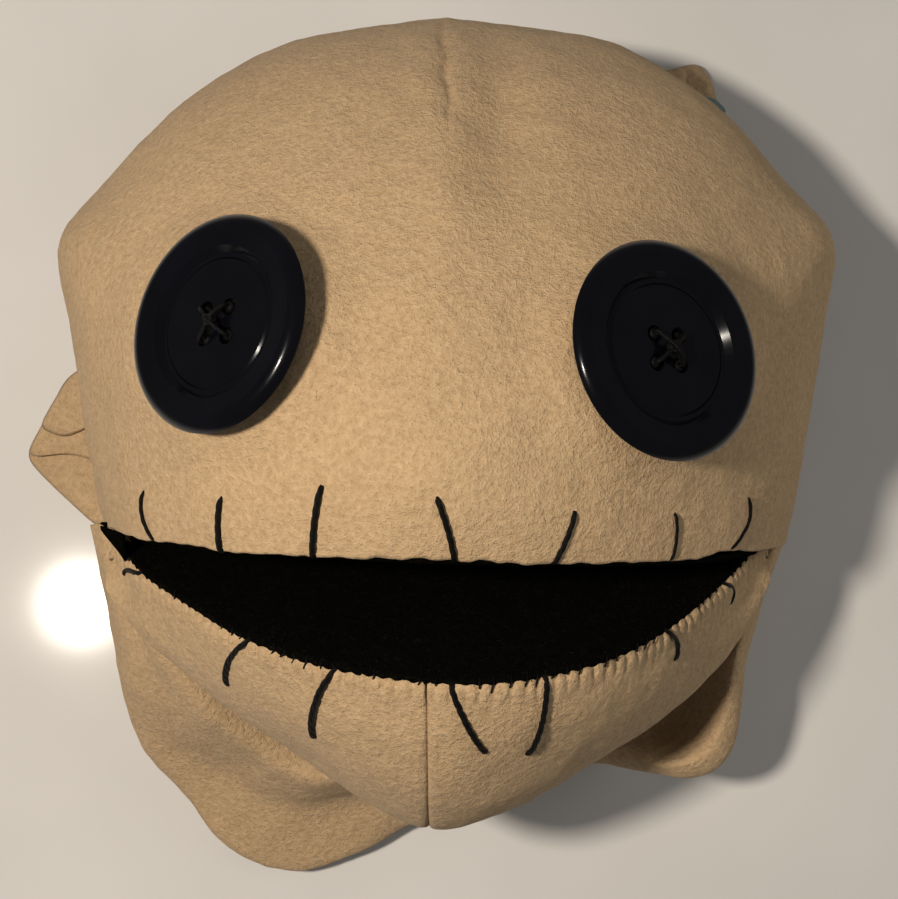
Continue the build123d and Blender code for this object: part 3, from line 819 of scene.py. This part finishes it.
def upper_plate():
    """The upper felt's surface, just in front of the cut."""
    x = np.linspace(-63.5, 65.5, 161)
    bottom = HINGE[2] + 2.3
    height = bottom + RISE_STEPS * np.maximum(lip_height(x) - 1.6 - bottom, 0.6)[None]
    return np.stack([x + 0 * height, cut_y(x, height) - 0.15, height], -1)


def lower_plate():
    """The lower felt's surface, just above the lower plate."""
    x = np.linspace(-58.5, 66, 161)
    along = 3.1 + RISE_STEPS * np.maximum(reach_at(x) - 0.7 - 3.1, 0.6)[None]
    return on_plate(x + 0 * along, along, -0.45 + 0 * along)


def corner_gore():
    """The felt that turns out at the left corner of the mouth, between the two lips."""
    x = np.linspace(-64.0, -56.5, 25)
    top = np.column_stack([x, cut_y(x, lip_height(x) - 1.2), lip_height(x) - 1.2])
    low = on_plate(x, reach_at(x), 0.3 + 0 * x)
    return top[None] + np.linspace(0, 1, 13)[:, None, None] * (low - top)[None]


upper_felt = cloth(
    "upper_felt", upper_plate(), 51, felt, amount=0.45, thickness=1.2, inward=-1
)
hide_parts("upper_mouth_felt")
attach(upper_felt, "head")

lower_felt = cloth("lower_felt", lower_plate(), 53, felt, amount=0.5, thickness=1.2)
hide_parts("lower_mouth_felt")
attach(lower_felt, "jaw")

corner_felt = cloth(
    "corner_felt", corner_gore(), 55, felt, amount=0.4, thickness=1.0, inward=-1
)
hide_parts("upper_mouth_felt")
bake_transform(corner_felt)


# ================================================================ floss and the hinge's roll
def tube(path, radius, sides):
    """Vertices and faces of a closed tube along a path, with narrowed ends."""
    path = np.asarray(path, float)
    ahead = unit(np.gradient(path, axis=0))
    across = unit(np.cross(ahead, np.array([0.31, 0.17, 0.93])))
    up = np.cross(across, ahead)
    turn = np.linspace(0, 2 * math.pi, sides, endpoint=False)
    wide = np.broadcast_to(radius, (len(path),)).astype(float).copy()
    wide[0] *= 0.5
    wide[-1] *= 0.5
    circle = across[:, None] * np.cos(turn)[None, :, None] + up[:, None] * np.sin(turn)[None, :, None]
    points = path[:, None] + circle * wide[:, None, None]
    quads = [ring_faces(k * sides, (k + 1) * sides, sides, False) for k in range(len(path) - 1)]
    count = len(path) * sides
    points = np.concatenate([points.reshape(-1, 3), path[:1], path[-1:]])
    fans = [fan_faces(count, 0, sides, True), fan_faces(count + 1, count - sides, sides, False)]
    return points, np.concatenate(quads), np.concatenate(fans)


def tubes_object(name, parts, material):
    """One object from several tubes."""
    points, quads, fans, base = [], [], [], 0
    for p, q, f in parts:
        points.append(p)
        quads.append(q + base)
        fans.append(f + base)
        base += len(p)
    faces = [np.concatenate(quads), np.concatenate(fans)]
    return mesh_object(name, np.concatenate(points), faces, material)


STRANDS = 3
LAY = 6.5  # length of one full twist of the strands


def floss(path, radius):
    """Twisted strands along a path."""
    path = np.asarray(path, float)
    run = run_along(path)
    count = max(int(run[-1] / 0.3), 12)
    path = np.stack([np.interp(np.linspace(0, run[-1], count), run, path[:, k]) for k in range(3)], -1)
    run = np.linspace(0, run[-1], count)
    ahead = unit(np.gradient(path, axis=0))
    across = unit(np.cross(ahead, np.array([0.21, 0.13, 0.97])))
    up = np.cross(across, ahead)
    parts = []
    for k in range(STRANDS):
        turn = 2 * math.pi * (run / LAY + k / STRANDS)
        centre = path + (across * np.cos(turn)[:, None] + up * np.sin(turn)[:, None]) * radius * 0.38
        parts.append(tube(centre, radius * 0.62, 7))
    return parts


roll_x = np.linspace(-58, 64, 200)
roll_path = np.stack([roll_x, HINGE[1] + 0.15 * np.sin(roll_x), HINGE[2] + 0.15 * np.cos(roll_x * 1.3)], -1)
roll_radius = 2.0 + 0.12 * noise(roll_path, 2.5, 61)
hinge_roll = tubes_object("hinge_roll", [tube(roll_path, roll_radius, 20)], felt)
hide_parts("mouth_hinge_strip")
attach(hinge_roll, "head")


# ================================================================ stitches
# Each long stitch: x at the lip, x at its other end, how far that end is from the lip, the
# floss's radius, and how far the stitch bows to the right.
UPPER = [
    (-48.6, -50.6, 9.6, 0.4, -1.3), (-34.4, -34.0, 9.8, 0.56, -0.3), (-17.3, -15.5, 12.6, 0.56, -0.3),
    (7.0, 4.0, 10.8, 0.55, 0.3), (23.7, 27.4, 9.5, 0.5, 0.3), (45.4, 45.9, 9.0, 0.33, 0.5),
    (57.6, 61.4, 10.5, 0.35, 2.0),
]
LOWER = [
    (-53.4, -58.2, 4.9, 0.48, -1.0), (-29.8, -34.8, 14.2, 0.58, -1.6), (-13.8, -18.2, 18.6, 0.6, -1.6),
    (6.3, 12.6, 15.2, 0.58, -0.5), (22.6, 19.8, 17.8, 0.56, 0.8), (45.0, 47.2, 8.4, 0.44, 1.3),
    (58.2, 59.8, 6.0, 0.42, 1.4),
]


DIVE = 1.6  # how far a long stitch goes into the cloth at its ends


def arch(t, height):
    """How high a stitch stands off the cloth along its length: it dives in at both ends."""
    return height - DIVE * (np.exp(-t / 0.035) + np.exp(-(1 - t) / 0.045))


def face_stitch(lip_x, end_x, length, radius, bow):
    """Path of a long stitch from the upper lip up the face."""
    t = np.linspace(0, 1, 60)
    x = lip_x + (end_x - lip_x) * t + bow * np.sin(math.pi * t)
    y = np.interp(x, lip[:, 0], lip[:, 1]) + 0.2 + (length - 0.2) * t
    step = 0.4
    slope_x = (dome(x + step, y) - dome(x - step, y)) / (2 * step)
    slope_y = (dome(x, y + step) - dome(x, y - step)) / (2 * step)
    normal = unit(np.stack([-slope_x, -slope_y, np.ones_like(x)], -1))
    return np.stack([x, y, dome(x, y)], -1) + normal * arch(t, radius * 0.8)[:, None]


def chin_stitch(lip_x, end_x, length, radius, bow):
    """Path of a long stitch from the lower lip down the chin."""
    t = np.linspace(0, 1, 36)
    x = lip_x + (end_x - lip_x) * t + bow * np.sin(math.pi * t)
    points, normals = jaw_at(x, 0.1 + length * t)
    return points + normals * arch(t, radius * 0.8)[:, None]


for name, table, make, body, node in (
    ("upper_stitches", UPPER, face_stitch, "head", "upper_lip_stitches"),
    ("lower_stitches", LOWER, chin_stitch, "jaw", "lower_lip_stitches"),
):
    parts = []
    for row in table:
        parts += floss(make(*row), row[3])
    stitches = tubes_object(name, parts, thread)
    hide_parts(node)
    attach(stitches, body)



def whipstitches():
    """Short stitches over the lower lip in its pinches. Some are lost in the nap, and there is
    none beside a long stitch or in the corners of the mouth."""
    parts = []
    for k, px in enumerate(pinch_x):
        length = 0.5 + 1.5 * abs(hashed(k, 3, 7, 5)) ** 1.5 * (1 if k % 3 else 1.5)
        near = min(abs(px - row[0]) for row in LOWER)
        if near < 1.3 or px < -60.5 or px > 65 or hashed(k, 5, 3, 8) < -0.45:
            continue
        t = np.linspace(0, 1, 9)
        lean = -0.45 + 0.6 * hashed(k, 11, 2, 9)
        points, normals = jaw_at(px + lean * t, length * t)
        inner = on_plate(np.array([px]), reach_at(np.array([px])) - 1.6, np.array([-0.5]))
        sink = 0.12 - 0.5 * smooth((t - 0.8) / 0.2)
        path = np.concatenate([inner, points + normals * (sink - 0.28)[:, None]])
        parts.append(tube(path, 0.17 + 0.05 * hashed(k, 2, 9, 4), 6))
    return parts


ticks = tubes_object("whipstitch_ticks", whipstitches(), thread)
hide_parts("lip_whipstitches")
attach(ticks, "jaw")


# ================================================================ eye threads
HOLE = 2.55  # from the middle of the button to each hole, both ways
SUNK_FACE = 0.75  # above the button's middle


def crossed_floss(side, seed):
    """Two doubled crossing threads, a knot over them, and the loops in a button's four holes."""
    middle, out, _ = BUTTONS[side]
    across = unit(np.array([1, 0, 0]) - out * out[0])
    along = np.cross(out, across)

    def at(u, v, w):
        """A point across and along the button, and above its sunk face."""
        return middle + across * u + along * v + out * (SUNK_FACE + w)

    corners = [(-HOLE, -HOLE), (HOLE, HOLE), (HOLE, -HOLE), (-HOLE, HOLE)]
    parts = []
    for turn, (a, b) in enumerate(((0, 1), (2, 3), (0, 1), (3, 2))):
        (au, av), (bu, bv) = corners[a], corners[b]
        shift = 0.32 * (1 if turn > 1 else -1)
        t = np.linspace(-0.12, 1.12, 30)
        part = np.clip(t, 0, 1)
        lift = 0.45 + 0.75 * np.sin(math.pi * part) - 3.0 * (smooth(-t * 9) + smooth((t - 1) * 9))
        lift = lift + 0.25 * turn * np.sin(math.pi * part)
        wave_off = shift + 0.25 * np.sin(5 * t + seed + turn)
        way = 1 if turn % 2 else -1
        path = np.array([
            at(au + (bu - au) * s + w, av + (bv - av) * s - w * way, h)
            for s, w, h in zip(part, wave_off, lift)
        ])
        parts.append(tube(path, 0.42, 8))
    knot = np.array([
        at(
            1.05 * math.cos(s + seed) * (1 - 0.25 * s / 10),
            0.85 * math.sin(s + seed),
            1.3 + 0.5 * math.sin(1.7 * s),
        )
        for s in np.linspace(0, 2 * math.pi * 1.6, 50)
    ])
    parts.append(tube(knot, 0.4, 8))
    for u, v in corners:  # the loops down inside each hole
        loop = np.array([at(u * 0.99, v * 0.99, h) for h in (-2.2, -1.6, -0.8, -0.35)])
        parts.append(tube(loop, 1.05, 12))
    return parts


for side, seed in (("left", 4), ("right", 9)):
    eye_thread = tubes_object(
        f"eye_floss_{side}", crossed_floss(side, seed), thread
    )
    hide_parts(f"eye_thread_{side}")
    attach(eye_thread, "head")


# ================================================================ sleeve pieces
bulge = cloth("sleeve_bulge", bulge_grid(121, 409), 71, fleece, (0, 0, 0, 0))
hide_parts("sleeve_front_panel", "cheek_gusset_left", "cheek_gusset_right")
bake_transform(bulge)


def rounded(points, count, soft):
    """A closed outline through points, a little uneven and with its corners softened."""
    p = even(points, count, closed=True)
    flat = np.column_stack([p, 0 * p[:, 0]])
    p = p + np.stack([noise(flat, 17, count), noise(flat, 17, count + 1)], -1) * 0.9
    for _ in range(soft):
        p = (np.roll(p, 1, 0) + 2 * p + np.roll(p, -1, 0)) / 4
    return p


def layer(
    name, points, top, middle, seed, thickness=2.3, rings=60, material=fleece,
    wave=0.5, count=420,
):
    """A flat layer of cloth whose upper side is at this height, with slow waves."""

    def place(plan):
        flat = np.column_stack([plan, 0 * plan[:, 0]])
        return np.column_stack([plan, top + wave * noise(flat, 30, seed) + 0.3 * noise(flat, 11, seed)])

    return cap(
        name, rounded(points, count, 9), middle, place, rings, 1.1, (*middle, top - 500), seed,
        material, 0.5, thickness,
    )


under = layer(
    "sleeve_under",
    [(-60, -22), (-66, -20), (-72.5, -17.5), (-83, -8.6), (-90, -1.8), (-84.5, 8), (-80.3, 18.3), (56, 88.5),
     (60, 89.5), (63.6, 91.2), (66.4, 86.5), (68, 78), (68, -20), (55, -30), (-40, -30)],
    3.1, (0, 12), 81,
)
over = layer(
    "sleeve_over",
    [(-61, -19), (-70, -4), (-79, -1.2), (-89, -2.4), (-84, 8), (-79.6, 17.8), (55.5, 87.7), (60, 88.5),
     (63, 90), (65.4, 85.8), (67.2, 78), (67, -19), (50, -20), (-40, -20)],
    5.6, (0, 14), 85, wave=0.4,
)
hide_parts("sleeve_front_panel")
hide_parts("sleeve_back_panel")
hem = layer(
    "sleeve_turned_hem",
    [(-79, 17.3), (-85.5, 4.5), (-79.5, 1.8), (-60, 12), (58, 72.5), (60.2, 88), (55.4, 87), (0, 58)],
    8.0, (-8, 46), 87, rings=40, wave=0.4,
)
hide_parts("sleeve_hem")
label = layer(
    "side_seam_tab",
    [(59, 77), (68, 75), (69.6, 78.4), (67.3, 80.8), (60.5, 83)],
    6.0, (65, 79), 89, thickness=0.7, rings=16, material=tab, wave=0.1, count=120,
)
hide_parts("label_tab")
for piece in (under, over, hem, label):
    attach(piece, "head")


# ================================================================ stage, light and camera
floor_mesh = bpy.data.meshes.new("floor")
floor_mesh.from_pydata([(-40, -40, 0), (40, -40, 0), (40, 40, 0), (-40, 40, 0)], [], [(0, 1, 2, 3)])
floor_object = bpy.data.objects.new("floor", floor_mesh)
bpy.context.scene.collection.objects.link(floor_object)
floor_mesh.materials.append(table_material("pale_table"))


def area_light(name, place, size, watts, colour, glossy=True, diffuse=True):
    """A round lamp at this place in metres, which faces the puppet and isn't seen itself."""
    light = bpy.data.lights.new(name, "AREA")
    light.shape = "DISK"
    light.size, light.energy, light.color = size, watts, colour
    obj = bpy.data.objects.new(name, light)
    bpy.context.scene.collection.objects.link(obj)
    obj.location = place
    obj.visible_camera = False
    obj.visible_glossy = glossy
    obj.visible_diffuse = diffuse
    obj.rotation_mode = "QUATERNION"
    obj.rotation_quaternion = Vector(place).to_track_quat("Z", "Y")


# The warm key lights from the left, the glint is its mirror image in the shiny surfaces, and the
# fill is a wide, dim light from the right.
KEY_PLACE = (-0.172, -0.01, 0.446)
GLINT_PLACE = (-0.174, -0.036, 0.446)
FILL_PLACE = (0.6, 0.1, 0.42)
area_light("key", KEY_PLACE, size=0.045, watts=2.0, colour=(1.0, 0.88, 0.75), glossy=False)
area_light("glint", GLINT_PLACE, size=0.033, watts=0.7, colour=(1.0, 0.92, 0.8), diffuse=False)
area_light("fill", FILL_PLACE, size=0.6, watts=1.15, colour=(1.0, 0.93, 0.84), glossy=False)
world = bpy.data.worlds.new("studio")
world.use_nodes = True
world.node_tree.nodes["Background"].inputs["Color"].default_value = (0.95, 0.97, 1.0, 1)
world.node_tree.nodes["Background"].inputs["Strength"].default_value = 0.11
bpy.context.scene.world = world
bpy.context.scene.view_settings.view_transform = "Standard"

camera_data = bpy.data.cameras.new("camera")
camera_data.sensor_width = 36
camera_data.lens = 18 / math.tan(math.radians(15))
camera = bpy.data.objects.new("camera", camera_data)
bpy.context.scene.collection.objects.link(camera)
camera.location = (0.006, -0.0325, 0.380)
camera.rotation_euler = (math.radians(5), 0, 0)
bpy.context.scene.camera = camera
